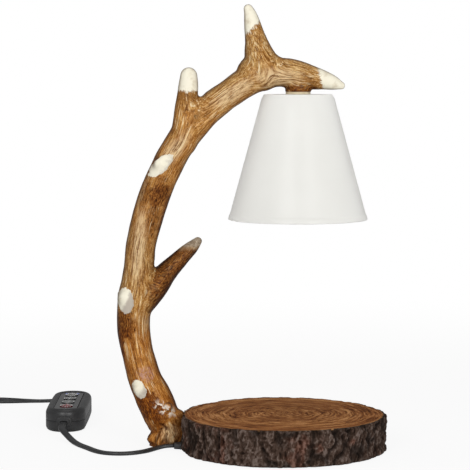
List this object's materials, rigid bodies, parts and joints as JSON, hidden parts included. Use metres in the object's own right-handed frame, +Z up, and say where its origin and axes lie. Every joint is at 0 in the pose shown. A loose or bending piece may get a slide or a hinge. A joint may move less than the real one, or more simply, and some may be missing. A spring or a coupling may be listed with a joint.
{
  "type": "candle warmer lamp",
  "caption": "Candle warmer lamp with an antler-shaped stem on a log slice, a white cone shade over a twist-lock reflector bulb and an in-line push-button controller",
  "frame": {"origin": "centre of the log slice's underside, on the table", "axes": "+Z up, +X towards the viewer's right with the stem at the left, +Y away from the viewer"},
  "size_m": [0.4224, 0.298, 0.3439],
  "materials": {
    "log_wood": "bark round the side, oiled end grain on top",
    "dark_fibreboard": "matt painted",
    "black_felt": "pressed felt",
    "zinc_steel": "zinc plated",
    "ballast_steel": "plain",
    "black_rubber": "satin",
    "white_nylon": "plain",
    "black_cord": "satin PVC",
    "cast_resin": "hand painted as antler, satin",
    "plain_brass": "plain",
    "lead_sleeve": "plain",
    "cream_disc": "satin",
    "white_enamel": "satin white",
    "fibre": "plain",
    "holder_aluminium": "satin",
    "white_ceramic": "matt",
    "pin_metal": "nickel plated",
    "reflector_glass": "silvered inside",
    "clear_glass": "clear",
    "filament_metal": "dull",
    "black_shell": "fine satin",
    "black_face": "matt",
    "black_key": "matt with white marks",
    "dark_red_key": "printed red",
    "switch_plastic": "plain",
    "board_green": "solder mask",
    "blue_light": "clear tinted",
    "red_light": "clear tinted",
    "tie_fabric": "woven strap",
    "black_plug": "satin",
    "blade_brass": "nickel plated brass"
  },
  "bodies": {
    "lamp": {"log_slice": "log_wood", "bottom_plate": "dark_fibreboard", "base_felt": "black_felt", "plate_screws": "zinc_steel", "ballast_plate": "ballast_steel", "cord_clamp": "zinc_steel", "clamp_screws": "zinc_steel", "cord_bushing": "black_rubber", "wire_connectors": "white_nylon", "supply_lead": "black_cord", "antler": "cast_resin", "armature_tube": "zinc_steel", "thread_inserts": "plain_brass", "foot_nipple": "plain_brass", "foot_washer": "zinc_steel", "foot_nut": "plain_brass", "foot_dowel": "zinc_steel", "lamp_lead": "lead_sleeve", "head_nipple": "plain_brass", "stub_washer": "cream_disc", "shade": "white_enamel", "shade_washer": "fibre", "shade_nut": "plain_brass", "holder_cap": "holder_aluminium", "holder_ceramic": "white_ceramic", "holder_contacts": "plain_brass", "holder_screws": "zinc_steel", "controller_bottom": "black_shell", "controller_top": "black_shell", "controller_face": "black_face", "tact_switches": "switch_plastic", "controller_board": "board_green", "controller_leads": "lead_sleeve", "lights_blue": "blue_light", "light_red": "red_light", "controller_screws": "zinc_steel", "relief_lamp_side": "black_rubber", "relief_mains_side": "black_rubber", "cord_lamp_side": "black_cord", "cord_mains_side": "black_cord", "cord_coil": "black_cord", "cord_tail": "black_cord", "coil_tie": "tie_fabric", "plug_body": "black_plug", "plug_blades": "blade_brass"},
    "timer_button": {"button_timer": "black_key", "plunger_timer": "switch_plastic"},
    "brighter_button": {"button_brighter": "black_key", "plunger_brighter": "switch_plastic"},
    "dimmer_button": {"button_dimmer": "black_key", "plunger_dimmer": "switch_plastic"},
    "power_button": {"button_power": "dark_red_key", "plunger_power": "switch_plastic"},
    "bulb": {"bulb_base": "white_ceramic", "bulb_pins": "pin_metal", "bulb_reflector": "reflector_glass", "bulb_glass": "clear_glass", "bulb_capsule": "clear_glass", "bulb_filament": "filament_metal"}
  },
  "joints": [
    {"name": "timer_press", "type": "slide", "parent": "lamp", "child": "timer_button", "axis": [0, 0, -1], "range_m": [0, 0.0006], "stiffness_N_per_m": 600},
    {"name": "brighter_press", "type": "slide", "parent": "lamp", "child": "brighter_button", "axis": [0, 0, -1], "range_m": [0, 0.0006], "stiffness_N_per_m": 600},
    {"name": "dimmer_press", "type": "slide", "parent": "lamp", "child": "dimmer_button", "axis": [0, 0, -1], "range_m": [0, 0.0006], "stiffness_N_per_m": 600},
    {"name": "power_press", "type": "slide", "parent": "lamp", "child": "power_button", "axis": [0, 0, -1], "range_m": [0, 0.0006], "stiffness_N_per_m": 600},
    {"name": "bulb_twist", "type": "hinge", "parent": "lamp", "child": "bulb", "pos_m": [0.011, 0, 0.2412], "axis": [0, 0, 1], "range_deg": [-35, 0]}
  ]
}
